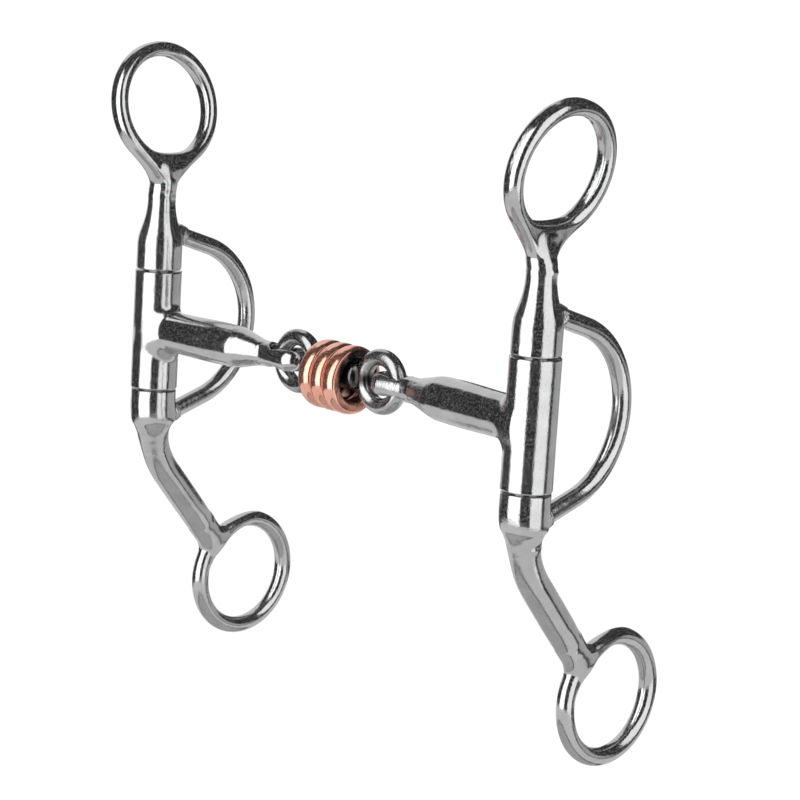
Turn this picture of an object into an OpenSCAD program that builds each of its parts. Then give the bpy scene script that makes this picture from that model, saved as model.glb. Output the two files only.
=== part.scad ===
// Loose-cheek curb bit for a bridle: a jointed mouthpiece with copper rollers between two swivelling cheeks.
// Millimetres. X runs along the mouthpiece, +Y is to the rear where the shanks sweep, +Z is up.
// The origin is the middle of the centre link. Each cheek is drawn once, for the right, and mirrored for the left.

/* [Mouthpiece] */
// Clear width between the two sleeves
mouth_w = 127; // [118:1:140]
// How far the centre link sits behind the line through the two sleeves
link_set_back = 3.3; // [0:0.1:5]
// Diameter of an arm at its thickest
arm_d = 11.4; // [10.6:0.1:12]
// Diameter of an arm where it leaves the eye
arm_neck_d = 6; // [5:0.1:6.4]
// Width of the slot through an arm's eye
eye_slot_w = 5.4; // [5.2:0.1:5.6]
// Wall thickness of an arm's eye
eye_wall = 2; // [1.8:0.1:2.2]
// Height of an arm's eye
eye_h = 6; // [5.4:0.1:6.2]

/* [Centre link] */
// Distance between the centres of the two link rings
link_pitch = 31; // [30:0.5:33]
// Outside diameter of a link ring
link_ring_od = 16.8; // [16.6:0.1:17.2]
// Thickness of a link ring's round section
link_ring_t = 4.3; // [4.1:0.1:4.4]
// Diameter of the bar that carries the rollers
link_bar_d = 7.5; // [6.5:0.1:8]

/* [Rollers] */
// Number of copper rollers
roller_n = 3; // [3:1:3]
// Outside diameter of a roller
roller_od = 17.8; // [16:0.1:18.2]
// Bore of a roller
roller_bore = 11.2; // [10.8:0.1:12]
// Width of a roller
roller_w = 4.3; // [4:0.1:4.4]
// Distance from one roller to the next
roller_pitch = 4.5; // [4.45:0.05:4.6]
// How far the rollers hang below the bar's axis
roller_drop = 1.4; // [1:0.05:1.6]

/* [Swivel] */
// Outside diameter of a sleeve
sleeve_d = 12.7; // [12:0.1:13.5]
// Height of a sleeve
sleeve_h = 32.5; // [30:0.5:36]
// Diameter of the core pin that a sleeve turns on
core_d = 8; // [7:0.1:8.4]
// Radial running clearance between a core pin and its sleeve
core_gap = 0.05; // [0.03:0.01:0.1]
// End gap between a sleeve and each barrel
seam_gap = 0.4; // [0.3:0.05:0.6]
// Outside diameter of the barrels above and below a sleeve
barrel_d = 12.3; // [11.6:0.1:12.6]

/* [Headstall ring] */
// Radius of the headstall ring's centre line
head_ring_r = 15.4; // [14:0.1:17]
// Thickness of the ring in its own plane
head_ring_t = 4; // [3.6:0.1:4.6]
// Thickness of the ring across its plane
head_ring_w = 5; // [4.8:0.1:5.6]
// Height of the ring's centre above the middle of the sleeve
head_ring_z = 60.5; // [59:0.5:62]
// How far the ring's centre is behind the barrel's axis
head_ring_y = 1.5; // [0:0.1:2]
// How far the ring's centre is outside the barrel's axis
head_ring_x = 2.2; // [1.8:0.1:2.4]
// Outward lean of the ring, away from the horse's cheek
head_ring_lean = 12; // [10:0.5:13]
// Diameter of the neck at its waist
neck_d = 7.6; // [7:0.1:8]

/* [Snaffle loop] */
// Radius of the loop's centre line
loop_r = 22.2; // [21:0.1:23]
// Distance from the barrel's axis to the loop's centre
loop_y = 10.5; // [9:0.1:12]
// Diameter of the loop's rod
loop_rod_d = 4.8; // [4.4:0.1:5]

/* [Shank and rein ring] */
// Diameter of the shank's round section
shank_d = 7.9; // [7.6:0.1:8]
// Backward sweep of the shank from the vertical, in degrees
shank_sweep = 40; // [38:1:42]
// Radius of the bend at the top of the shank
shank_bend_r = 24; // [23:0.5:25]
// Length of the straight part of the shank, to the rein ring's centre line
shank_run = 28.8; // [27:0.1:30]
// Radius of the rein ring's centre line
rein_ring_r = 15.7; // [15:0.1:16.5]
// Thickness of the rein ring's round section
rein_ring_t = 4.6; // [4.2:0.1:4.8]

/* [Hidden] */
$fn = 96;
far = 200;                                   // larger than anything on the bit
weld_gap = 0.01;                             // welded neighbours stop this far apart
joint_lap = 0.3;                             // a bend and the straight that follows it overlap by this much
joint_step = 0.1;                            // and the straight is this much thicker

steel = "silver";
polished = "gainsboro";
dark_steel = "dimgray";
copper = "peru";

// Swivel and fold axes
axis_x = mouth_w / 2 + sleeve_d / 2;         // barrel axis of the right cheek
axis_y = -link_set_back;
fold_x = link_pitch / 2 + (link_ring_od - link_ring_t) / 2;   // outermost centre of a link ring's section
arm_run = axis_x - fold_x;
arm_len = sqrt(arm_run * arm_run + link_set_back * link_set_back);
arm_turn = -atan(link_set_back / arm_run);   // the right arm runs outward and slightly forward

// Link ring
link_ring_c = (link_ring_od - link_ring_t) / 2;
bar_half = link_pitch / 2 - link_ring_od / 2 + 1.6;
bar_cone = 1.9;                              // length of the bar's tapered ends
roller_round = 1.4;                          // corner radius of a roller's section

// Arm, along its own axis from the fold axis
eye_end = -3.7;                              // centre of the eye's rounded end
slot_end = 0.9;                              // centre of the slot's outer end
eye_body = 6.5;                              // where the eye gives way to the arm
arm_shoulder = 15.7;                         // end of the taper behind the eye
arm_shoulder_d = arm_d - 1;
arm_swell = 24;                              // place of the greatest diameter
arm_root_d = arm_d - 0.4;
flare_len = 5;                               // the root widens into a saddle on the sleeve
flare_h = 17;
flare_w = 11.8;

// Cheek heights, from the middle of the sleeve
barrel_z = sleeve_h / 2 + seam_gap;
shoulder_z = 26.2;
neck_z = 33.5;                               // top of the flare, where the neck reaches its waist
waist_z = 36.5;                              // weld between the purchase and the headstall ring
corner_z = -25.2;
taper_z = -31;
lower_weld_z = -29;
core_end = barrel_z + 4;                     // the pin is let this far into each barrel
core_sock = 0.02;

// Headstall ring web
web_r = 9;                                   // fillets between the neck and the ring
ring_out = head_ring_r + head_ring_t / 2;
web_flat = 12.7;                             // flat at the bottom of the hole, below the ring's centre
web_half = 5.5;
web_x = head_ring_x - (head_ring_r - 3) * sin(head_ring_lean);   // where the leaning ring meets the neck

// Snaffle loop
loop_z = 0.8;
loop_half_arc = 72;
loop_tail = 13.2;                            // straight end, let a little way into the barrel
collar_at = 8.4;                             // start of the weld collar along that end
collar_cone = 1.2;
collar_d = loop_rod_d + 1.4;

// Shank and rein ring
bend_z = -25.6;
bend_y = 0.3;
run_y = bend_y + shank_bend_r * (1 - cos(shank_sweep));
run_z = bend_z - shank_bend_r * sin(shank_sweep);
rein_lift = 1.9;                             // the ring's centre lies this far behind the shank's line
rein_y = run_y + (shank_run + rein_ring_r) * sin(shank_sweep) + rein_lift * cos(shank_sweep);
rein_z = run_z - (shank_run + rein_ring_r) * cos(shank_sweep) + rein_lift * sin(shank_sweep);
rein_flat = 13;                              // flat in the rein ring's hole, where the shank meets it
rein_flat_half = 7.5;

// ---- shared shapes ----

module rounded_section(w, h, r) {
  square([w - 2 * r, h], center = true);
  square([w, h - 2 * r], center = true);
  for (sx = [-1, 1], sy = [-1, 1])
    translate([sx * (w / 2 - r), sy * (h / 2 - r)]) circle(r);
}

module slot_outline(x0, x1, r) {
  translate([x0, 0]) circle(r);
  translate([x1, 0]) circle(r);
  translate([x0, -r]) square([x1 - x0, 2 * r]);
}

module torus(r, t) {
  rotate_extrude() translate([r, 0]) circle(d = t);
}

// Turns a drawing in XY into the cheek's own plane: its X becomes Y and its Y becomes Z.
module in_cheek_plane() { rotate([90, 0, 90]) children(); }

module above(z) { translate([-far, -far, z]) cube([2 * far, 2 * far, far]); }
module below(z) { translate([-far, -far, z - far]) cube([2 * far, 2 * far, far]); }

// A cheek or arm shape is drawn for the right side; the left one is its mirror image.
module on_side(s) {
  if (s > 0) children();
  else mirror([1, 0, 0]) children();
}
module at_cheek(s) { on_side(s) translate([axis_x, axis_y, 0]) children(); }
module at_arm(s) { on_side(s) translate([fold_x, 0, 0]) rotate([0, 0, arm_turn]) children(); }

// ---- centre link and rollers ----

module link_bar() {
  color(dark_steel) difference() {
    rotate([0, 90, 0]) union() {
      cylinder(h = 2 * (bar_half - bar_cone), d = link_bar_d, center = true);
      for (s = [0, 180]) rotate([s, 0, 0])
        translate([0, 0, bar_half - bar_cone]) cylinder(h = bar_cone, d1 = link_bar_d, d2 = link_ring_t);
    }
    for (s = [-1, 1]) translate([s * link_pitch / 2, 0, 0])
      rotate([90, 0, 0]) torus(link_ring_c, link_ring_t + 2 * weld_gap);
  }
}

module link_ring(s) {
  color(dark_steel) translate([s * link_pitch / 2, 0, 0])
    rotate([90, 0, 0]) torus(link_ring_c, link_ring_t);
}

module roller(n) {
  wall = (roller_od - roller_bore) / 2;
  color(copper) translate([(n - (roller_n + 1) / 2) * roller_pitch, 0, -roller_drop])
    rotate([0, 90, 0]) rotate_extrude()
      translate([roller_bore / 2 + wall / 2, 0]) rounded_section(wall, roller_w, roller_round);
}

// ---- arms ----

module sleeve(s) {
  color(polished) at_cheek(s) difference() {
    cylinder(h = sleeve_h, d = sleeve_d, center = true);
    cylinder(h = sleeve_h + 2, r = core_d / 2 + core_gap, center = true);
  }
}

module arm_profile() {
  root_x = arm_len;
  polygon([[0, slot_end + 3.2], [arm_neck_d / 2, slot_end + 3.2], [arm_neck_d / 2, eye_body],
    [arm_shoulder_d / 2 - 0.25, arm_shoulder - 1.2], [arm_shoulder_d / 2 + 0.1, arm_shoulder + 0.6],
    [arm_d / 2 - 0.1, arm_swell - 3], [arm_d / 2, arm_swell], [arm_root_d / 2, root_x - 9],
    [arm_root_d / 2, root_x], [0, root_x]]);
}

module arm(s) {
  eye_r = eye_slot_w / 2 + eye_wall;
  color(polished) at_arm(s) difference() {
    union() {
      rotate([0, 90, 0]) rotate_extrude() arm_profile();
      intersection() {
        linear_extrude(eye_h, center = true) slot_outline(eye_end, slot_end + 2.2, eye_r);
        rotate([90, 0, 0]) cylinder(h = far, r = -eye_end + eye_r + 0.6, center = true);
      }
      intersection() {
        translate([arm_len - sleeve_d / 2 - flare_len, 0, 0]) rotate([0, 90, 0])
          cylinder(h = flare_len + 2, d1 = arm_root_d - 0.2, d2 = flare_h);
        translate([0, -flare_w / 2, -far / 2]) cube([far, flare_w, far]);
      }
    }
    linear_extrude(eye_h + 4, center = true) slot_outline(eye_end, slot_end, eye_slot_w / 2);
    translate([arm_len, 0, 0]) cylinder(h = far, r = sleeve_d / 2 + weld_gap, center = true);
    translate([arm_len, -far / 2, -far / 2]) cube(far);
  }
}

// ---- cheek, upper half ----

module head_ring() {
  translate([head_ring_x, head_ring_y, head_ring_z]) rotate([0, head_ring_lean, 0]) rotate([0, 90, 0])
    rotate_extrude() translate([head_ring_r, 0]) union() {
      for (s = [-1, 1]) translate([0, s * (head_ring_w - head_ring_t) / 2]) circle(d = head_ring_t);
      square([head_ring_t, head_ring_w - head_ring_t], center = true);
    }
}

// The web fills the fork between the neck and the ring, in the cheek's plane.
module head_web() {
  span = ring_out + web_r;
  front = neck_d / 2 + web_r + head_ring_y;
  rear = neck_d / 2 + web_r - head_ring_y;
  front_z = -sqrt(span * span - front * front);
  rear_z = -sqrt(span * span - rear * rear);
  depth = head_ring_z - waist_z + 2;
  to_ring = head_ring_r / span;              // scales a fillet's centre to the ring's centre line
  translate([web_x, head_ring_y, head_ring_z]) in_cheek_plane()
    linear_extrude(head_ring_t + 0.2, center = true) difference() {
      polygon([[-web_half, -web_flat], [web_half, -web_flat], [rear * to_ring, rear_z * to_ring],
        [rear, rear_z], [rear, -depth], [-front, -depth], [-front, front_z],
        [-front * to_ring, front_z * to_ring]]);
      translate([-front, front_z]) circle(web_r);
      translate([rear, rear_z]) circle(web_r);
    }
}

module neck() {
  rotate_extrude() polygon([[0, barrel_z], [barrel_d / 2, barrel_z], [barrel_d / 2, shoulder_z - 1.6],
    [barrel_d / 2 - 0.5, shoulder_z], [barrel_d / 2 - 1.5, shoulder_z + 2], [neck_d / 2 + 0.25, neck_z - 2.6],
    [neck_d / 2, neck_z], [neck_d / 2, waist_z + 5.5], [0, waist_z + 5.5]]);
}

module purchase_shape() {
  intersection() {
    neck();
    below(waist_z - weld_gap / 2);
  }
}

module purchase(s) {
  color(steel) at_cheek(s) difference() {
    purchase_shape();
    cylinder(h = core_end + 0.2, r = core_d / 2 + core_sock);
  }
}

module headstall_ring(s) {
  color(steel) at_cheek(s) union() {
    head_ring();
    intersection() {
      union() {
        head_web();
        neck();
      }
      above(waist_z + weld_gap / 2);
    }
  }
}

module core_pin(s) {
  color(dark_steel) at_cheek(s) cylinder(h = 2 * core_end, d = core_d, center = true);
}

// ---- snaffle loop ----

module snaffle_loop(s) {
  color(steel) at_cheek(s) difference() {
    translate([0, loop_y, loop_z]) in_cheek_plane() union() {
      rotate([0, 0, -loop_half_arc]) rotate_extrude(angle = 2 * loop_half_arc)
        translate([loop_r, 0]) circle(d = loop_rod_d);
      for (e = [-1, 1]) rotate([0, 0, e * loop_half_arc]) translate([loop_r, 0, 0])
        rotate([-e * 90, 0, 0]) loop_root();
    }
    purchase_shape();
    lower_shape();
  }
}

// Straight end of the rod, with the weld collar round it where it meets the barrel
module loop_root() {
  translate([0, 0, -joint_lap]) cylinder(h = loop_tail + joint_lap, d = loop_rod_d + joint_step);
  translate([0, 0, collar_at]) cylinder(h = collar_cone, d1 = loop_rod_d, d2 = collar_d);
  translate([0, 0, collar_at + collar_cone]) cylinder(h = loop_tail - collar_at - collar_cone, d = collar_d);
}

// ---- cheek, lower half ----

module lower_shape() {
  rotate_extrude() polygon([[0, -barrel_z], [barrel_d / 2, -barrel_z], [barrel_d / 2, corner_z + 0.8],
    [barrel_d / 2 - 0.4, corner_z - 0.4], [shank_d / 2 + 0.5, taper_z + 2.2], [shank_d / 2, taper_z],
    [0, taper_z]]);
}

module shank_path() {
  translate([0, bend_y + shank_bend_r, bend_z]) in_cheek_plane() rotate([0, 0, 180])
    rotate_extrude(angle = shank_sweep) translate([shank_bend_r, 0]) circle(d = shank_d);
  translate([0, run_y, run_z]) rotate([180 + shank_sweep, 0, 0])
    translate([0, 0, -joint_lap]) cylinder(h = shank_run + joint_lap, d = shank_d + joint_step);
}

module lower_barrel(s) {
  color(steel) at_cheek(s) difference() {
    intersection() {
      lower_shape();
      above(lower_weld_z + weld_gap / 2);
    }
    translate([0, 0, -core_end - 0.2]) cylinder(h = core_end + 0.2, r = core_d / 2 + core_sock);
  }
}

module at_rein_ring() { translate([0, rein_y, rein_z]) rotate([0, 90, 0]) children(); }

module shank(s) {
  color(steel) at_cheek(s) difference() {
    intersection() {
      union() {
        lower_shape();
        shank_path();
      }
      below(lower_weld_z - weld_gap / 2);
    }
    at_rein_ring() cylinder(h = far, r = rein_ring_r + rein_ring_t / 2 + weld_gap, center = true);
  }
}

// The rein ring carries the yoke that the shank is welded to, and the flat in its hole.
module rein_ring(s) {
  color(steel) at_cheek(s) union() {
    at_rein_ring() torus(rein_ring_r, rein_ring_t);
    translate([0, rein_y, rein_z]) in_cheek_plane() rotate([0, 0, shank_sweep])
      linear_extrude(rein_ring_t - 0.6, center = true) intersection() {
        translate([-rein_flat_half, rein_flat]) square([2 * rein_flat_half, rein_ring_t]);
        circle(rein_ring_r);
      }
  }
}

link_bar();
link_ring(-1);  // left_link_ring
link_ring(1);  // right_link_ring
roller(1);  // roller_1
roller(2);  // roller_2
roller(3);  // roller_3
sleeve(-1);  // left_sleeve
arm(-1);  // left_arm
core_pin(-1);  // left_core_pin
purchase(-1);  // left_purchase
headstall_ring(-1);  // left_headstall_ring
snaffle_loop(-1);  // left_snaffle_loop
lower_barrel(-1);  // left_lower_barrel
shank(-1);  // left_shank
rein_ring(-1);  // left_rein_ring
sleeve(1);  // right_sleeve
arm(1);  // right_arm
core_pin(1);  // right_core_pin
purchase(1);  // right_purchase
headstall_ring(1);  // right_headstall_ring
snaffle_loop(1);  // right_snaffle_loop
lower_barrel(1);  // right_lower_barrel
shank(1);  // right_shank
rein_ring(1);  // right_rein_ring
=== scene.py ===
"""Looks of a loose-cheek curb bit: polished steel cheeks and mouthpiece, and copper rollers.

Most shapes are distance fields in millimetres, in the right cheek's or the right arm's own axes. They are
meshed, cut where pieces are welded, and mirrored for the left side. The snaffle loops and the rollers are
swept and turned. Each piece stands for the CAD node of the same name.
"""

import math

import bmesh
import bpy
import numpy as np
from mathutils import Matrix, Vector


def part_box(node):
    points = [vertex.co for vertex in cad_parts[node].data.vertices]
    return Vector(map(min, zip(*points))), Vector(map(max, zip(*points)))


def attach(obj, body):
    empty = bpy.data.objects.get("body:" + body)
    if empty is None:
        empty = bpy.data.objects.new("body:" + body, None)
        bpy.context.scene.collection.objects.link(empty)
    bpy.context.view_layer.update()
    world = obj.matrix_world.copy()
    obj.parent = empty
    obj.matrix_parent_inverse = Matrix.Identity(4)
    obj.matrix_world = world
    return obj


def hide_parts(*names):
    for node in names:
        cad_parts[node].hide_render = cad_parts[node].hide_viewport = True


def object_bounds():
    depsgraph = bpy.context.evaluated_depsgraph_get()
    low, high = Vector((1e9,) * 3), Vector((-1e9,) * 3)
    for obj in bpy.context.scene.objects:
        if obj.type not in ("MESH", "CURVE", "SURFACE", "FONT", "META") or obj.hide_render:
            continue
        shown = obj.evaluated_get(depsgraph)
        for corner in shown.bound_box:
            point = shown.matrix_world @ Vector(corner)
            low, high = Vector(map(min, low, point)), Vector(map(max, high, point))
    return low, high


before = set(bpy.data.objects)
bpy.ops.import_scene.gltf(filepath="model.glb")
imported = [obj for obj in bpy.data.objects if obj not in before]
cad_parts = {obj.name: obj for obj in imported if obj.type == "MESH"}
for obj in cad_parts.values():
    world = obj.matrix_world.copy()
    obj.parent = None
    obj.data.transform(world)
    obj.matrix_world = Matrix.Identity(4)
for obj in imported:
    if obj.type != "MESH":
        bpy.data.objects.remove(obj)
cad_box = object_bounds()

MM = 0.001
CELL = 0.42          # spacing of the grid that the fields are meshed on
LINK_CELL = 0.36     # and the finer one for the small centre link
SIDES = {"right": 1, "left": -1}


def box_mm(node):
    """Lowest and highest corners of a CAD node, in millimetres."""
    low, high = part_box(node)
    return np.array(low) / MM, np.array(high) / MM


# ---- sizes read from the frame ----

sleeve_low, sleeve_high = box_mm("right_sleeve")
AXIS_X, AXIS_Y = (sleeve_low[:2] + sleeve_high[:2]) / 2
SLEEVE_R = (sleeve_high[0] - sleeve_low[0]) / 2
SLEEVE_TOP = sleeve_high[2]
CORE_R = (box_mm("right_core_pin")[1][0] - box_mm("right_core_pin")[0][0]) / 2

purchase_low, purchase_high = box_mm("right_purchase")
BARREL_R = (purchase_high[0] - purchase_low[0]) / 2
SEAM_Z = purchase_low[2]
WAIST_Z = purchase_high[2]
SHANK_WELD_Z = box_mm("right_lower_barrel")[0][2]

# the headstall ring's thickness in its plane and across it, and its outward lean
HEAD_T, HEAD_W, HEAD_LEAN = 4.0, 4.96, math.radians(12)
head_low, head_high = box_mm("right_headstall_ring")
HEAD_R = (head_high[1] - head_low[1] - HEAD_T) / 2
HEAD_Y = (head_low[1] + head_high[1]) / 2 - AXIS_Y
head_flat = (HEAD_W - HEAD_T) / 2
head_rim = HEAD_R * math.sin(HEAD_LEAN) + head_flat * math.cos(HEAD_LEAN) + HEAD_T / 2
head_top = HEAD_R * math.cos(HEAD_LEAN) + head_flat * math.sin(HEAD_LEAN) + HEAD_T / 2
HEAD_X = head_high[0] - AXIS_X - head_rim
HEAD_Z = head_high[2] - head_top

rein_low, rein_high = box_mm("right_rein_ring")
REIN_T = rein_high[0] - rein_low[0]
REIN_R = (rein_high[1] - rein_low[1] - REIN_T) / 2
REIN_Y = (rein_low[1] + rein_high[1]) / 2 - AXIS_Y
REIN_Z = (rein_low[2] + rein_high[2]) / 2

# the snaffle loop's rod, the radius of its centre line and half the arc that it covers
ROD_R, LOOP_R, LOOP_ARC = 2.4, 22.2, math.radians(72)
loop_low, loop_high = box_mm("right_snaffle_loop")
LOOP_Y = loop_high[1] - AXIS_Y - LOOP_R - ROD_R
LOOP_Z = (loop_low[2] + loop_high[2]) / 2

# the bend at the top of the shank: its radius, its angle and where it starts; the straight run follows it
BEND_R, SWEEP = 24.0, math.radians(40)
BEND_Y, BEND_Z = 0.3, -25.6
RUN_Y = BEND_Y + BEND_R * (1 - math.cos(SWEEP))
RUN_Z = BEND_Z - BEND_R * math.sin(SWEEP)

link_low, link_high = box_mm("right_link_ring")
LINK_T = link_high[1] - link_low[1]
LINK_R = (link_high[2] - link_low[2] - LINK_T) / 2
LINK_X = (link_low[0] + link_high[0]) / 2
BAR_R = (box_mm("link_bar")[1][2] - box_mm("link_bar")[0][2]) / 2
FOLD_X = link_high[0] - LINK_T / 2
ARM_LEN = math.hypot(AXIS_X - FOLD_X, AXIS_Y)
ARM_TURN = math.atan2(AXIS_Y, AXIS_X - FOLD_X)


# ---- distance fields ----

def fillet(a, b, r):
    """Union of two fields, with a fillet of radius r where they meet."""
    return np.maximum(r, np.minimum(a, b)) - np.hypot(np.maximum(r - a, 0), np.maximum(r - b, 0))


def rounded(a, b, r):
    """Intersection of two fields, with the edge rounded to radius r."""
    return -fillet(-a, -b, r)


def plate(flat, across, half, edge):
    """An outline's field given thickness: half is half of it, edge the radius of its edges."""
    u = flat + edge
    v = np.abs(across) - half + edge
    return np.hypot(np.maximum(u, 0), np.maximum(v, 0)) + np.minimum(np.maximum(u, v), 0) - edge


def segment(u, v, start, end):
    """Distance in a plane to a straight segment, and how far along it the nearest point lies."""
    du, dv = end[0] - start[0], end[1] - start[1]
    length = math.hypot(du, dv)
    along = np.clip(((u - start[0]) * du + (v - start[1]) * dv) / length, 0, length)
    return np.hypot(u - start[0] - along * du / length, v - start[1] - along * dv / length), along


def smooth_step(low, high, t):
    """0 up to low, 1 from high on, and a smooth rise between them."""
    s = np.clip((t - low) / (high - low), 0, 1)
    return s * s * (3 - 2 * s)


class Curve:
    """A smooth curve through points that never overshoots them, with its slope."""

    def __init__(self, points):
        self.x, self.y = np.array(points, float).T
        self.h = np.diff(self.x)
        slope = np.diff(self.y) / self.h
        inner = np.zeros(len(slope) - 1)
        same = slope[:-1] * slope[1:] > 0
        inner[same] = 2 / (1 / slope[:-1][same] + 1 / slope[1:][same])
        self.m = np.concatenate(([0], inner, [0]))

    def __call__(self, t):
        t = np.clip(t, self.x[0], self.x[-1])
        i = np.clip(np.searchsorted(self.x, t) - 1, 0, len(self.h) - 1)
        h, s = self.h[i], (t - self.x[i]) / self.h[i]
        y0, y1, m0, m1 = self.y[i], self.y[i + 1], self.m[i] * h, self.m[i + 1] * h
        square, cube = 3 * (y1 - y0) - 2 * m0 - m1, 2 * (y0 - y1) + m0 + m1
        value = y0 + s * (m0 + s * (square + s * cube))
        slope = (m0 + s * (2 * square + s * 3 * cube)) / h
        return value, slope


def turned(axial, radial, curve):
    """Field of a turned body whose radius follows the curve."""
    r, slope = curve(axial)
    return (radial - r) / np.sqrt(1 + slope * slope)


# radius of the upper cheek by height above the sleeve's middle
NECK = Curve([(SEAM_Z - 1, BARREL_R), (22.8, BARREL_R), (24.3, BARREL_R - 0.1), (25.8, 5.8), (27.6, 5.25),
              (29.6, 4.6), (31.8, 4.1), (34, 3.82), (36.5, 3.74), (39.5, 3.84), (44, 3.9), (48, 3.9)])
# radius of the lower cheek by length along its path, from the sleeve's middle down
FOOT = Curve([(SEAM_Z - 1, BARREL_R), (23.7, BARREL_R), (24.7, BARREL_R - 0.08), (25.7, 5.85), (27.2, 5.0),
              (29, 4.36), (31.8, 3.98), (34.5, 3.84), (39, 3.9), (46, 3.98), (62, 3.95), (68, 3.8),
              (72, 3.4)])
SEAM_EDGE = 0.35             # the barrels' and sleeves' edges at a seam
SOCKET_GAP, SOCKET_DEPTH = 0.02, 4.2     # the hole in each barrel that takes the core pin
SOCKET_EDGE = 0.2

NECK_LEANS = (36.5, 47)      # heights between which the neck leans over to the ring's plane
NECK_FLATTENS = (38, 46)     # and between which it is pressed flat across that plane
NECK_FLATTENING = 0.5
NECK_END, NECK_ROUND = 46.2, 2.0
WEB_STEM = 2.6               # half the width of the stem under the headstall ring
WEB_FILLET = 8.0             # between that stem and the ring, in the ring's plane
WEB_FLAT = 12.8              # flat at the bottom of the headstall ring's hole, from its centre
WEB_HOLE_ROUND = 1.2
WEB_START, WEB_ROUND = 39, 1.5           # lowest point of the web
WEB_TO_NECK = (40, 45)       # heights over which the fillet between the web and the neck grows

STUB_R = 2.85                # weld collar where the snaffle loop meets a barrel
STUB_START, STUB_END = 10.0, 14.5        # how far along the loop's straight end the collar runs
STUB_RIDGE, STUB_PITCH = 0.22, 1.15      # ridges round the collar, and their spacing
STUB_RIDGED = 2.6            # how far along the collar the ridges run
STUB_FILLET = 1.3

SHANK_REACH = 29.0           # length of the straight run
SHANK_FLATTENS = (56, 70)    # lengths between which the shank is pressed flat, towards the rein ring
SHANK_FLATTENING = 0.35
YOKE_STEM = 2.7              # half the width of the stem above the rein ring
YOKE_RISE = 7                # how far the stem reaches up the shank from the rein ring's centre line
YOKE_OUTLINE, YOKE_FILLET = 2.6, 2.2     # fillets in the ring's plane, and where the yoke meets the shank
REIN_FLAT = 12.9             # flat in the rein ring's hole, from its centre
REIN_HOLE_ROUND, SHANK_END_ROUND = 2.5, 2.4
RIM_FLAT = 17.6              # straight stretch of the rein ring's rim behind the yoke, from its centre
RIM_AT, RIM_ROUND = math.radians(107), 3.0


# weld beads: height, half the width, and lumps in a turn
NECK_BEAD = (0.30, 0.55, 11)
SHANK_BEAD = (0.16, 0.7, 8)
SHANK_BEAD_ABOVE = 1.4       # how far the shank's bead lies above its weld


def bead(along, around, height, half_width, lumps):
    """Height of a weld bead: it runs round the rod, lumpy, and highest on the outer rear."""
    highest = 0.7                            # angle from +X, in radians
    lumpy = 0.65 + 0.35 * np.cos(lumps * around)
    rear = 0.25 + 0.75 * smooth_step(-0.2, 0.8, np.cos(around - highest))
    return height * lumpy * rear * np.exp(-(along / half_width) ** 2)


def loop_end(sign):
    """Where the loop's arc ends, and the direction of the straight end that follows, in the cheek's plane."""
    start = (LOOP_Y + LOOP_R * math.cos(LOOP_ARC), LOOP_Z + sign * LOOP_R * math.sin(LOOP_ARC))
    return start, (-math.sin(LOOP_ARC), sign * math.cos(LOOP_ARC))


def weld_stub(x, y, z, sign):
    """The weld collar at an end of the snaffle loop."""
    (sy, sz), (dy, dz) = loop_end(sign)
    along = (y - sy) * dy + (z - sz) * dz
    off = np.hypot((z - sz) * dy - (y - sy) * dz, x)
    ridge = STUB_RIDGE * np.cos((along - STUB_START) * 2 * math.pi / STUB_PITCH)
    collar = off - STUB_R - ridge * (along < STUB_START + STUB_RIDGED)
    return rounded(rounded(collar, STUB_START - along, 0.35), along - STUB_END, 0.3)


def core_socket(x, y, depth):
    """The hole for the core pin in a barrel: depth is measured from the seam into the barrel."""
    return np.maximum(np.hypot(x, y) - CORE_R - SOCKET_GAP, depth - SOCKET_DEPTH)


def upper_cheek(x, y, z):
    """The barrel above the sleeve, its neck, and the headstall ring with its web."""
    # the ring's plane leans outward, and the neck leans over and flattens into the web under the ring
    middle = (HEAD_X + (z - HEAD_Z) * math.tan(HEAD_LEAN)) * smooth_step(*NECK_LEANS, z)
    flattening = 1 + NECK_FLATTENING * smooth_step(*NECK_FLATTENS, z)
    body = turned(z, np.hypot((x - middle) * flattening, y), NECK)
    body = body - bead(z - WAIST_Z, np.arctan2(y, x), *NECK_BEAD)
    body = rounded(body, z - NECK_END, NECK_ROUND)
    body = rounded(body, SEAM_Z - z, SEAM_EDGE)
    # in the ring's own plane: v points to the rear and w up
    across = (x - middle) * math.cos(HEAD_LEAN)
    v = y - HEAD_Y
    w = (z - HEAD_Z) * math.cos(HEAD_LEAN) + (x - HEAD_X) * math.sin(HEAD_LEAN)
    rho = np.hypot(v, w)
    stem = np.maximum(np.abs(y) - WEB_STEM, w + HEAD_R - 1.0)
    outer = fillet(rho - HEAD_R - HEAD_T / 2, stem, WEB_FILLET)
    hole = rounded(rho - HEAD_R + HEAD_T / 2, -w - WEB_FLAT, WEB_HOLE_ROUND)
    web = plate(np.maximum(outer, -hole), across, HEAD_W / 2, HEAD_T / 2)
    web = rounded(web, WEB_START - z, WEB_ROUND)
    whole = fillet(web, body, 0.4 + 1.4 * smooth_step(*WEB_TO_NECK, z))
    whole = fillet(whole, weld_stub(x, y, z, 1), STUB_FILLET)
    return rounded(whole, -core_socket(x, y, z - SEAM_Z), SOCKET_EDGE)


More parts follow.
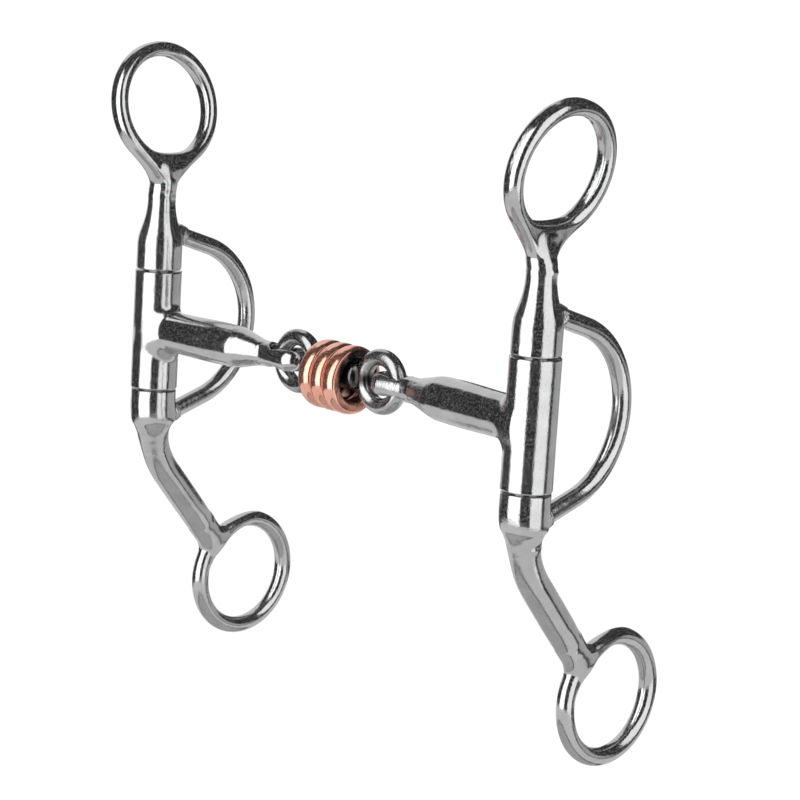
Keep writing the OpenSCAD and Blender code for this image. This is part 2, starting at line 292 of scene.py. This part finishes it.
def shank_path(y, z):
    """Distance in the cheek's plane to the lower cheek's centre line, and the length along it.

    The line goes down the barrel's axis, round the bend and along the run. The axis slides over to the bend.
    """
    slide_from = -21
    slide = BEND_Y * smooth_step(slide_from, BEND_Z, z)
    barrel = np.where(z > BEND_Z, np.abs(y - slide), np.inf)
    cy = BEND_Y + BEND_R
    angle = np.clip(np.arctan2(BEND_Z - z, cy - y), 0, SWEEP)
    bend = np.hypot(y - cy + BEND_R * np.cos(angle), z - BEND_Z + BEND_R * np.sin(angle))
    run_end = (RUN_Y + SHANK_REACH * math.sin(SWEEP), RUN_Z - SHANK_REACH * math.cos(SWEEP))
    run, along = segment(y, z, (RUN_Y, RUN_Z), run_end)
    distance = np.minimum(np.minimum(barrel, bend), run)
    past_bend = np.where(distance == bend, -BEND_Z + BEND_R * angle, -BEND_Z + BEND_R * SWEEP + along)
    return distance, np.where(distance == barrel, -z, past_bend)


def lower_cheek(x, y, z):
    """The barrel under the sleeve, the shank, and the rein ring with its yoke."""
    off, length = shank_path(y, z)
    radius, _ = FOOT(length)
    radius = radius + bead(length + SHANK_WELD_Z - SHANK_BEAD_ABOVE, np.arctan2(y, x), *SHANK_BEAD)
    flattening = 1 + SHANK_FLATTENING * smooth_step(*SHANK_FLATTENS, length)
    body = rounded(np.hypot(off, x * flattening) - radius, z + SEAM_Z, SEAM_EDGE)
    # in the cheek's plane: up points from the rein ring's centre along the shank, side to the rear
    v, w = y - REIN_Y, z - REIN_Z
    up = -v * math.sin(SWEEP) + w * math.cos(SWEEP)
    side = v * math.cos(SWEEP) + w * math.sin(SWEEP)
    shank_line = (RUN_Y - REIN_Y) * math.cos(SWEEP) + (RUN_Z - REIN_Z) * math.sin(SWEEP)
    rho = np.hypot(v, w)
    stem = np.maximum(np.abs(side - shank_line) - YOKE_STEM, REIN_R - up)
    stem = np.maximum(stem, up - REIN_R - YOKE_RISE)
    # behind the yoke the ring's rim runs straight for a little way
    straight = v * math.cos(RIM_AT) + w * math.sin(RIM_AT) - RIM_FLAT
    rim = rounded(rho - REIN_R - REIN_T / 2, straight, RIM_ROUND)
    outer = fillet(rim, stem, YOKE_OUTLINE)
    hole = rounded(rho - REIN_R + REIN_T / 2, up - REIN_FLAT, REIN_HOLE_ROUND)
    yoke = plate(np.maximum(outer, -hole), x, REIN_T / 2, REIN_T / 2)
    whole = fillet(rounded(body, -hole, SHANK_END_ROUND), yoke, YOKE_FILLET)
    whole = fillet(whole, weld_stub(x, y, z, -1), STUB_FILLET)
    return rounded(whole, -core_socket(x, y, -z - SEAM_Z), SOCKET_EDGE)


# radius of the arm by distance from its fold axis
ARM = Curve([(0, 2.5), (5.6, 2.55), (6.5, 2.8), (7.2, 3.3), (9, 3.8), (12.4, 4.66), (15, 5.3), (16.4, 5.52),
             (20, 5.62), (24, 5.7), (30, 5.62), (36, 5.5), (42, 5.5), (50, 5.5)])
ARM_START, ARM_START_ROUND = 3.4, 1.2    # where the arm's round body begins
EYE_R = 4.68                 # radius of the eye's rounded end
EYE_H = Curve([(-9, 2.95), (-7.5, 3.0), (-1.5, 3.4), (2, 3.4)])    # half the eye's height along the arm
EYE_FROM, EYE_END = -3.7, 5.9            # centre of the rounded end, and where the eye gives way to the arm
EYE_TAPER = 0.18             # how fast the eye's outline narrows towards the arm
EYE_CROWN, EYE_EDGE = 0.45, 0.8          # the arc that rounds the eye's tip in side view, beyond its end
EYE_FILLET = 1.0
SLOT_R, SLOT_EDGE = 2.7, 0.7
SLOT_END = 0.9               # centre of the slot's outer end
CORE_GAP = 0.05              # between the core pin and the sleeve's bore
BORE_EDGE = 0.25
BAR_HALF, BAR_ROUND = 8.2, 1.6           # the centre link's bar
LINK_FILLET = 1.3            # weld between the bar and a link ring


def arm_and_sleeve(x, y, z):
    """The arm along +X from its fold axis, and the sleeve at its outer end."""
    body = rounded(turned(x, np.hypot(y, z), ARM), ARM_START - x, ARM_START_ROUND)
    body = rounded(body, x - ARM_LEN, 0.5)
    outer, along = segment(x, y, (EYE_FROM, 0), (EYE_END, 0))
    height, _ = EYE_H(x)
    eye = plate(outer - EYE_R + EYE_TAPER * along, z, height, height - 0.1)
    eye = rounded(eye, np.hypot(x, z) - (EYE_R - EYE_FROM + EYE_CROWN), EYE_EDGE)
    eye = fillet(eye, body, EYE_FILLET)
    slot, _ = segment(x, y, (EYE_FROM, 0), (SLOT_END, 0))
    eye = rounded(eye, SLOT_R - slot, SLOT_EDGE)
    off_sleeve = np.hypot(x - ARM_LEN, y)
    sleeve = rounded(off_sleeve - SLEEVE_R, np.abs(z) - SLEEVE_TOP, SEAM_EDGE)
    saddle = 2.8 - 0.6 * np.tanh(z / 3)      # the weld's fillet is larger under the arm than over it
    whole = fillet(eye, sleeve, saddle)
    whole = rounded(whole, np.abs(z) - SLEEVE_TOP, 0.2)
    return rounded(whole, CORE_R + CORE_GAP - off_sleeve, BORE_EDGE)


def link(x, y, z):
    """The bar along X that carries the rollers, and the ring at each of its ends."""
    whole = rounded(np.hypot(y, z) - BAR_R, np.abs(x) - BAR_HALF, BAR_ROUND)
    for sign in (-1, 1):
        ring = np.hypot(np.hypot(x - sign * LINK_X, z) - LINK_R, y) - LINK_T / 2
        whole = fillet(whole, ring, LINK_FILLET)
    return whole


# ---- meshing ----

def gradient(field, p, d=0.01):
    """The field's gradient at each point, from differences over d on either side."""
    g = np.empty_like(p)
    for axis in range(3):
        step = np.zeros(3)
        step[axis] = d
        g[:, axis] = (field(*(p + step).T) - field(*(p - step).T)) / (2 * d)
    return g


def mesh_field(field, low, high, cell=CELL):
    """Quads on the field's zero surface: one point in each grid cell that it crosses, moved onto it."""
    low, high = np.array(low, float), np.array(high, float)
    count = np.ceil((high - low) / cell).astype(int) + 1
    axes = [low[i] + cell * np.arange(count[i]) for i in range(3)]
    values = np.empty(count)
    for k in range(count[0]):                # slice by slice, to keep memory small
        y, z = np.meshgrid(axes[1], axes[2], indexing="ij")
        values[k] = field(np.full_like(y, axes[0][k]), y, z)
    stride = np.array([count[1] * count[2], count[2], 1])
    keys, points, quads = [], [], []
    for axis in range(3):
        a = np.moveaxis(values, axis, 0)
        hit = np.moveaxis((a[:-1] < 0) != (a[1:] < 0), 0, axis)
        at = np.argwhere(hit)
        v0 = values[tuple(at.T)]
        ahead = at.copy()
        ahead[:, axis] += 1
        v1 = values[tuple(ahead.T)]
        p = at.astype(float)
        p[:, axis] += v0 / (v0 - v1)
        u, v = (axis + 1) % 3, (axis + 2) % 3
        base = at @ stride
        ring = np.stack([base - stride[u] - stride[v], base - stride[v], base, base - stride[u]], 1)
        keys.append(ring.ravel())
        points.append(np.repeat(p, 4, axis=0))
        quads.append(np.where((v0 < 0)[:, None], ring, ring[:, ::-1]))
    keys, index = np.unique(np.concatenate(keys), return_inverse=True)
    points = np.concatenate(points)
    total = np.bincount(index)
    p = np.stack([np.bincount(index, points[:, i]) / total for i in range(3)], 1) * cell + low
    faces = np.searchsorted(keys, np.concatenate(quads))
    edges = np.concatenate([faces[:, [i, (i + 1) % 4]] for i in range(4)])
    degree = np.bincount(edges[:, 0], minlength=len(p))
    even_steps, steps, pull = 3, 6, 0.6
    for step in range(steps):
        if step < even_steps:                # even out the spacing, then move back onto the surface
            near = [np.bincount(edges[:, 0], p[edges[:, 1], i], len(p)) / degree for i in range(3)]
            p = p + pull * (np.stack(near, 1) - p)
        g = gradient(field, p)
        p = p - field(*p.T)[:, None] * g / np.maximum((g * g).sum(1), 0.05)[:, None]
    return p, faces


def cut_mesh(points, faces, planes):
    """Keeps what lies behind each plane (point, normal) and closes the cuts. Cut faces come last."""
    mesh = bpy.data.meshes.new("work")
    mesh.from_pydata(points.tolist(), [], faces.tolist())
    bm = bmesh.new()
    bm.from_mesh(mesh)
    bpy.data.meshes.remove(mesh)
    for point, normal in planes:
        bmesh.ops.bisect_plane(bm, geom=bm.verts[:] + bm.edges[:] + bm.faces[:], dist=1e-5,
                               plane_co=point, plane_no=normal, clear_outer=True)
        open_edges = [e for e in bm.edges if e.is_boundary]
        caps = bmesh.ops.holes_fill(bm, edges=open_edges, sides=0)["faces"]
        for face in caps:
            face.material_index = 1
    return bm


def finish_piece(name, bm, field, place, mirrored, material):
    """Makes the object: place takes a point from the field's axes to the part's frame, in millimetres."""
    bmesh.ops.triangulate(bm, faces=[f for f in bm.faces if f.material_index == 1])
    local = np.array([v.co for v in bm.verts], float)
    normal = gradient(field, local)
    normal /= np.maximum(np.linalg.norm(normal, axis=1), 1e-9)[:, None]
    turn, shift = place
    world = local @ turn.T + shift
    normal = normal @ turn.T
    if mirrored:
        world[:, 0] *= -1
        normal[:, 0] *= -1
        bmesh.ops.reverse_faces(bm, faces=bm.faces[:])
    mesh = bpy.data.meshes.new(name)
    bm.to_mesh(mesh)
    bm.free()
    mesh.vertices.foreach_set("co", (world * MM).astype(np.float32).ravel())
    caps = np.empty(len(mesh.polygons), np.int32)
    mesh.polygons.foreach_get("material_index", caps)
    mesh.polygons.foreach_set("material_index", np.zeros_like(caps))
    mesh.polygons.foreach_set("use_smooth", np.ones(len(caps), bool))
    mesh.update()
    mesh.validate()
    if (caps == 1).any():
        set_corner_normals(mesh, normal, caps)
    else:
        mesh.normals_split_custom_set_from_vertices(normal)
    mesh.materials.append(material)
    obj = bpy.data.objects.new(name, mesh)
    bpy.context.scene.collection.objects.link(obj)
    return obj


def set_corner_normals(mesh, normal, caps):
    """Smooth normals from the field, and flat ones on the cut faces."""
    corner = np.empty(len(mesh.loops), np.int32)
    mesh.loops.foreach_get("vertex_index", corner)
    sizes = np.empty(len(mesh.polygons), np.int32)
    mesh.polygons.foreach_get("loop_total", sizes)
    flat = np.empty(len(mesh.polygons) * 3, np.float32)
    mesh.polygons.foreach_get("normal", flat)
    owner = np.repeat(np.arange(len(sizes)), sizes)
    per_corner = np.where((caps == 1)[owner][:, None], flat.reshape(-1, 3)[owner], normal[corner])
    mesh.normals_split_custom_set(per_corner)


# ---- materials ----

def new_material(name):
    """A material with its nodes, its links and its Principled shader."""
    material = bpy.data.materials.new(name)
    material.use_nodes = True
    nodes = material.node_tree.nodes
    shader = next(n for n in nodes if n.type == "BSDF_PRINCIPLED")
    return material, nodes, material.node_tree.links, shader


def noise(nodes, links, scale, detail):
    """Noise in the object's own metres: scale is in cells per metre."""
    coords = nodes.new("ShaderNodeTexCoord")
    texture = nodes.new("ShaderNodeTexNoise")
    texture.inputs["Scale"].default_value = scale
    texture.inputs["Detail"].default_value = detail
    links.new(coords.outputs["Object"], texture.inputs["Vector"])
    return texture.outputs["Fac"]


def spread(nodes, links, value, low, high, start=0.35, end=0.65):
    """Maps a value between start and end to the range from low to high, and holds it there outside them."""
    node = nodes.new("ShaderNodeMapRange")
    node.inputs["From Min"].default_value = start
    node.inputs["From Max"].default_value = end
    node.inputs["To Min"].default_value = low
    node.inputs["To Max"].default_value = high
    links.new(value, node.inputs["Value"])
    return node.outputs["Result"]


def mix_colours(nodes, links, factor, first, second):
    """Mixes a colour, or a colour from another node, with a second colour."""
    node = nodes.new("ShaderNodeMix")
    node.data_type = "RGBA"
    factor_socket, first_socket, second_socket = (node.inputs[i] for i in (0, 6, 7))
    if isinstance(first, tuple):
        first_socket.default_value = (*first, 1)
    else:
        links.new(first, first_socket)
    second_socket.default_value = (*second, 1)
    links.new(factor, factor_socket)
    return node.outputs[2]


def add(nodes, links, first, second):
    node = nodes.new("ShaderNodeMath")
    node.operation = "ADD"
    links.new(first, node.inputs[0])
    links.new(second, node.inputs[1])
    return node.outputs[0]


def bump(nodes, links, shader, layers):
    """Stacks bump layers of (height, distance in metres, strength)."""
    last = None
    for height, distance, strength in layers:
        node = nodes.new("ShaderNodeBump")
        node.inputs["Distance"].default_value = distance
        node.inputs["Strength"].default_value = strength
        links.new(height, node.inputs["Height"])
        if last:
            links.new(last, node.inputs["Normal"])
        last = node.outputs["Normal"]
    links.new(last, shader.inputs["Normal"])


def near_axis(nodes, links, radius, reach):
    """1 in an ellipsoid of this radius about the object's origin, with this reach along X; 0 outside it."""
    coords = nodes.new("ShaderNodeTexCoord")
    scale = nodes.new("ShaderNodeVectorMath")
    scale.operation = "MULTIPLY"
    scale.inputs[1].default_value = (1 / reach, 1 / radius, 1 / radius)
    links.new(coords.outputs["Object"], scale.inputs[0])
    length = nodes.new("ShaderNodeVectorMath")
    length.operation = "LENGTH"
    links.new(scale.outputs["Vector"], length.inputs[0])
    return spread(nodes, links, length.outputs["Value"], 1, 0, 0.92, 1.08)


# painted shade: the near-black that darkens the bar and the bores inside the rollers
BORE_SHADE = (0.05, 0.045, 0.045)


def metal(name, light, dark, rough, grain, ripple, metallic=1.0, bore_shade=None):
    """Polished metal: cloudy colour, smears, specks, polishing grain, and a faint orange-peel ripple.

    The last argument gives the radius and the reach, in metres, of a dark patch about the object's origin. It
    is painted shade inside the roller bores, where the rollers hide the bar and their own insides.
    """
    material, nodes, links, shader = new_material(name)
    dull = spread(nodes, links, noise(nodes, links, 2500, 3), metallic, metallic - 0.22, 0.50, 0.68)
    links.new(dull, shader.inputs["Metallic"])
    cloud = spread(nodes, links, noise(nodes, links, 160, 3), 0, 1)
    colour = mix_colours(nodes, links, cloud, light, dark)
    # painted shade: the colour turns near-black close to the axis, inside the roller bores
    if bore_shade:
        colour = mix_colours(nodes, links, near_axis(nodes, links, *bore_shade), colour, BORE_SHADE)
    links.new(colour, shader.inputs["Base Color"])
    smear = spread(nodes, links, noise(nodes, links, 90, 4), *rough)
    speck = spread(nodes, links, noise(nodes, links, 1900, 2), 0, 0.12, 0.5, 0.72)
    links.new(add(nodes, links, smear, speck), shader.inputs["Roughness"])
    bump(nodes, links, shader, [(noise(nodes, links, 420, 1), 0.0006, ripple),
                                (noise(nodes, links, 2600, 2), 0.00007, grain)])
    return material


BRIGHT, GREY = (0.62, 0.62, 0.625), (0.55, 0.55, 0.555)
cheek_steel = metal("cheek_steel", BRIGHT, GREY, rough=(0.05, 0.12), grain=0.35, ripple=0.05)
mouth_steel = metal("mouth_steel", BRIGHT, GREY, rough=(0.05, 0.12), grain=0.40, ripple=0.06)
# the link's bar gets painted shade where it runs through the rollers' bores
link_steel = metal("link_steel", (0.54, 0.54, 0.55), (0.40, 0.40, 0.41), rough=(0.12, 0.24), grain=0.30,
                   ripple=0.08, bore_shade=(0.0046, 0.0125))
# the rollers' bores and inner faces get painted shade
copper = metal("copper", (1.0, 0.53, 0.41), (0.93, 0.43, 0.31), rough=(0.07, 0.16), grain=0.20,
               ripple=0.06, metallic=0.94, bore_shade=(0.0070, 0.05))


# ---- pieces ----

def cheek_place():
    """Turn and shift from the cheek's axes to the part's frame."""
    return np.eye(3), np.array([AXIS_X, AXIS_Y, 0.0])


def arm_place():
    """Turn and shift from the arm's axes to the part's frame."""
    c, s = math.cos(ARM_TURN), math.sin(ARM_TURN)
    return np.array([[c, -s, 0], [s, c, 0], [0, 0, 1.0]]), np.array([FOLD_X, 0.0, 0.0])


def add_piece(node, body, field, meshed, planes, place, side, material):
    """Cuts a piece out of a mesh, and puts it in the CAD node's place on its body."""
    obj = finish_piece(node + "_skin", cut_mesh(*meshed, planes), field, place, side == "left", material)
    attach(obj, body)
    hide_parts(node)
    return obj


def half(z, up):
    """The plane that keeps what is above z, or below it."""
    return ((0, 0, z), (0, 0, -1 if up else 1))


def build_cheeks():
    """Meshes the upper and the lower cheek, and splits them where the real pieces are welded."""
    wide, leaning_side, past_seam = 8, 10, 1         # the grids' sides lie a little past the shapes
    reach = HEAD_R + HEAD_T
    low = (-wide, HEAD_Y - reach, SEAM_Z - past_seam)
    high = (leaning_side, HEAD_Y + reach, HEAD_Z + reach)
    upper = mesh_field(upper_cheek, low, high)
    reach = REIN_R + REIN_T
    low = (-wide, -wide, REIN_Z - reach)
    high = (wide, REIN_Y + reach, past_seam - SEAM_Z)
    lower = mesh_field(lower_cheek, low, high)
    weld_above_ring = 1.5
    shank_dir = np.array([0, math.sin(SWEEP), -math.cos(SWEEP)])
    join = np.array([0, REIN_Y, REIN_Z]) - shank_dir * (REIN_R + REIN_T / 2 + weld_above_ring)
    join_up = (tuple(join), tuple(shank_dir))
    join_down = (tuple(join), tuple(-shank_dir))
    pieces = [
        ("headstall_ring", upper_cheek, upper, [half(WAIST_Z, True)]),
        ("purchase", upper_cheek, upper, [half(WAIST_Z, False)]),
        ("lower_barrel", lower_cheek, lower, [half(SHANK_WELD_Z, True)]),
        ("shank", lower_cheek, lower, [half(SHANK_WELD_Z, False), join_up]),
        ("rein_ring", lower_cheek, lower, [half(SHANK_WELD_Z, False), join_down]),
    ]
    for name, field, meshed, planes in pieces:
        for side in SIDES:
            add_piece(f"{side}_{name}", f"{side}_cheek", field, meshed, planes,
                      cheek_place(), side, cheek_steel)


def build_arms():
    """Meshes an arm with its sleeve, and splits them at the sleeve's inner side."""
    eye_side, wide, margin = -10, 8, 1       # the grid's sides lie a little past the shape
    low = (eye_side, -wide, -SLEEVE_TOP - margin)
    high = (ARM_LEN + SLEEVE_R + margin, wide, SLEEVE_TOP + margin)
    meshed = mesh_field(arm_and_sleeve, low, high)
    clear = 0.05                             # the cut just misses the sleeve's own round side
    edge = ARM_LEN - SLEEVE_R - clear
    pieces = [("arm", [((edge, 0, 0), (1, 0, 0))]), ("sleeve", [((edge, 0, 0), (-1, 0, 0))])]
    for name, planes in pieces:
        for side in SIDES:
            add_piece(f"{side}_{name}", f"{side}_arm", arm_and_sleeve, meshed, planes,
                      arm_place(), side, mouth_steel)


def build_link():
    """Meshes the centre link, and splits its rings from its bar."""
    reach, wide = 10, 5                      # the grid's sides lie a little past the rings
    meshed = mesh_field(link, (-LINK_X - reach, -wide, -reach), (LINK_X + reach, wide, reach), LINK_CELL)
    clear = 0.1                              # the cuts just miss the rings' own round sides
    edge = LINK_X - LINK_R - LINK_T / 2 - clear
    here = (np.eye(3), np.zeros(3))
    pieces = [("link_bar", [((edge, 0, 0), (1, 0, 0)), ((-edge, 0, 0), (-1, 0, 0))]),
              ("right_link_ring", [((edge, 0, 0), (-1, 0, 0))]),
              ("left_link_ring", [((-edge, 0, 0), (1, 0, 0))])]
    for name, planes in pieces:
        add_piece(name, "link", link, meshed, planes, here, "right", link_steel)


def new_object(name, points, faces, material):
    """A smooth-shaded object from points in millimetres, in the part's frame."""
    mesh = bpy.data.meshes.new(name)
    mesh.from_pydata((np.asarray(points) * MM).tolist(), [], [tuple(f) for f in faces])
    mesh.polygons.foreach_set("use_smooth", [True] * len(mesh.polygons))
    mesh.materials.append(material)
    mesh.update()
    obj = bpy.data.objects.new(name, mesh)
    bpy.context.scene.collection.objects.link(obj)
    return obj


def grid_faces(rows, columns, close_rows):
    """Quads over a grid of points whose columns wrap round, and whose rows do too if close_rows."""
    faces = []
    for i in range(rows if close_rows else rows - 1):
        for j in range(columns):
            a, b = i * columns, (i + 1) % rows * columns
            faces.append((a + j, b + j, b + (j + 1) % columns, a + (j + 1) % columns))
    return faces


def circle(radius, count):
    """Points round a circle, from its first axis towards its second."""
    turns = [2 * math.pi * k / count for k in range(count)]
    return [(radius * math.cos(t), radius * math.sin(t)) for t in turns]


def loop_line():
    """The snaffle loop's centre line in the cheek's plane: a straight end, the arc, and the other end."""
    let_in = 1.4                             # how far each end goes into its weld collar
    ends = []
    for sign in (-1, 1):
        (sy, sz), (dy, dz) = loop_end(sign)
        ends.append([(sy + dy * s, sz + dz * s) for s in np.linspace(0, STUB_START + let_in, 22)[1:]])
    turns = np.linspace(-LOOP_ARC, LOOP_ARC, 121)
    arc = [(LOOP_Y + LOOP_R * math.cos(t), LOOP_Z + LOOP_R * math.sin(t)) for t in turns]
    return np.array(ends[0][::-1] + arc + ends[1])


def build_loops():
    """Sweeps the snaffle loop's rod along its centre line, with flat ends inside the weld collars."""
    around = 40
    line = loop_line()
    ahead = np.gradient(line, axis=0)
    ahead /= np.linalg.norm(ahead, axis=1)[:, None]
    out = np.stack([ahead[:, 1], -ahead[:, 0]], 1)
    points, faces = [], grid_faces(len(line), around, False)
    for (y, z), (oy, oz) in zip(line, out):
        for outward, sideways in circle(ROD_R, around):
            points.append((sideways, y + outward * oy, z + outward * oz))
    for first, order in ((0, 1), (len(points) - around, -1)):
        faces.append(tuple(range(first, first + around))[::order])
    for side, sign in SIDES.items():
        world = np.array(points) + (AXIS_X, AXIS_Y, 0)
        world[:, 0] *= sign
        quads = faces if sign > 0 else [f[::-1] for f in faces]
        obj = new_object(f"{side}_snaffle_loop_skin", world, quads, cheek_steel)
        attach(obj, f"{side}_cheek")
        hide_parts(f"{side}_snaffle_loop")


def roller_profile(width, outer, bore):
    """Outline of a roller's section as (axial, radial) points: a crowned rim and an eased bore."""
    crown, squareness = 1.25, 0.72
    bore_edge = 0.8
    rim = []
    for t in np.linspace(0, math.pi, 21):
        rim.append((-width / 2 * math.cos(t), outer - crown + crown * abs(math.sin(t)) ** squareness))
    inner = []
    for centre, start in ((width / 2 - bore_edge, 0), (-width / 2 + bore_edge, math.pi / 2)):
        for t in np.linspace(start, start + math.pi / 2, 6):
            inner.append((centre + bore_edge * math.cos(t), bore + bore_edge - bore_edge * math.sin(t)))
    return rim + inner


def build_rollers():
    """Turns each roller's section about the roller's own axis."""
    around = 128
    bore = 5.6
    for n in (1, 2, 3):
        node = f"roller_{n}"
        low, high = box_mm(node)
        centre = (low + high) / 2
        profile = roller_profile(high[0] - low[0], (high[2] - low[2]) / 2, bore)
        points = []
        for axial, radial in profile:
            points += [(centre[0] + axial, centre[1] + y, centre[2] + z) for y, z in circle(radial, around)]
        obj = new_object(node + "_skin", points, grid_faces(len(profile), around, True), copper)
        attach(obj, node)
        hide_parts(node)


build_cheeks()
build_arms()
build_link()
build_loops()
build_rollers()
for side in SIDES:
    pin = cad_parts[f"{side}_core_pin"]
    pin.data.materials.clear()
    pin.data.materials.append(link_steel)


# ---- studio ----

LENS_MM, SENSOR_MM, DISTANCE = 118.6, 36, 0.673
VIEW_AZIMUTH, VIEW_ELEVATION, VIEW_ROLL = 44.83, 11.18, 3.57       # degrees
AIM = Vector((0.0134, 0.0091, -0.0059))


def place_camera():
    """Looks at the aim from the photograph's angle: in front, to the right and a little above."""
    azimuth, elevation, roll = (math.radians(a) for a in (VIEW_AZIMUTH, VIEW_ELEVATION, VIEW_ROLL))
    back = Vector((math.sin(azimuth) * math.cos(elevation), -math.cos(azimuth) * math.cos(elevation),
                   math.sin(elevation)))
    right = Vector((math.cos(azimuth), math.sin(azimuth), 0))
    up = back.cross(right)
    turned_right = right * math.cos(roll) + up * math.sin(roll)
    turned_up = up * math.cos(roll) - right * math.sin(roll)
    camera = bpy.data.objects.new("camera", bpy.data.cameras.new("camera"))
    camera.data.lens = LENS_MM
    camera.data.sensor_width = SENSOR_MM
    camera.data.clip_start = 0.01
    matrix = Matrix((turned_right, turned_up, back)).transposed().to_4x4()
    matrix.translation = AIM + back * DISTANCE
    camera.matrix_world = matrix
    bpy.context.scene.collection.objects.link(camera)
    bpy.context.scene.camera = camera


def light_material(name, strength):
    """Plain white glow, seen only in the polish, so it isn't sampled as a lamp."""
    material = bpy.data.materials.new(name)
    material.use_nodes = True
    nodes, links = material.node_tree.nodes, material.node_tree.links
    nodes.clear()
    glow = nodes.new("ShaderNodeEmission")
    glow.inputs["Strength"].default_value = strength
    out = nodes.new("ShaderNodeOutputMaterial")
    links.new(glow.outputs[0], out.inputs["Surface"])
    material.cycles.emission_sampling = "NONE"
    return material


def studio_only(obj):
    """Keeps a light or a card out of the picture: it shows only as a reflection."""
    obj.visible_camera = False
    obj.visible_diffuse = False
    obj.visible_shadow = False


def panel(name, radius, azimuths, elevations, strength):
    """Part of a sphere round the bit, seen only in its polish. Azimuth is from +X towards +Y, in degrees."""
    rows, columns = 16, 32
    points, faces = [], []
    for e in np.radians(np.linspace(*elevations, rows + 1)):
        level, height = radius * math.cos(e), radius * math.sin(e)
        for a in np.radians(np.linspace(*azimuths, columns + 1)):
            points.append((level * math.cos(a), level * math.sin(a), height))
    wide = columns + 1
    for i in range(rows):
        for j in range(columns):
            faces.append((i * wide + j, i * wide + j + 1, (i + 1) * wide + j + 1, (i + 1) * wide + j))
    studio_only(new_object(name, points, faces, light_material(name, strength)))


def disc(name, height, inner, outer, strength):
    """A flat ring of light or dark under the bit, seen only in its polish."""
    around = 128
    points = [(x, y, height) for radius in (inner, outer) for x, y in circle(radius, around)]
    studio_only(new_object(name, points, grid_faces(2, around, False), light_material(name, strength)))


def build_studio():
    """A dark room with soft boxes, a backdrop and a bright table, all seen only in the polish."""
    room, wall = 620, 590
    table = -200
    dark = 0.02
    panel("room", room, (-180, 180), (-90, 90), 0.04)
    disc("table", table, 144, 420, 0.72)
    disc("table_line", table, 130, 144, dark)
    disc("table_middle", table, 0, 130, 0.48)
    panel("softbox_left", wall, (-122.5, -63.6), (-30, 58), 2.1)
    panel("softbox_right", wall, (-19.8, 28.6), (-30, 50), 1.3)
    panel("backdrop", wall, (130, 179), (-16, 62), 0.8)
    panel("side_card", wall, (44, 126), (-20, -3), 0.5)


def build_floor():
    """A pale floor under the bit, and the soft even light that the picture is lit by."""
    drop, half_size = 120, 9000
    low = cad_box[0][2] / MM - drop
    corners = [(-half_size, -half_size, low), (half_size, -half_size, low),
               (half_size, half_size, low), (-half_size, half_size, low)]
    material, _, _, shader = new_material("floor")
    shader.inputs["Base Color"].default_value = (0.92, 0.92, 0.92, 1)
    shader.inputs["Roughness"].default_value = 0.9
    floor = new_object("floor", corners, [(0, 1, 2, 3)], material)
    floor.visible_glossy = False
    world = bpy.data.worlds.new("world")
    world.use_nodes = True
    background = world.node_tree.nodes["Background"]
    background.inputs["Color"].default_value = (1, 1, 1, 1)
    background.inputs["Strength"].default_value = 1.15
    bpy.context.scene.world = world


place_camera()
build_studio()
build_floor()
bpy.context.scene.view_settings.view_transform = "Standard"
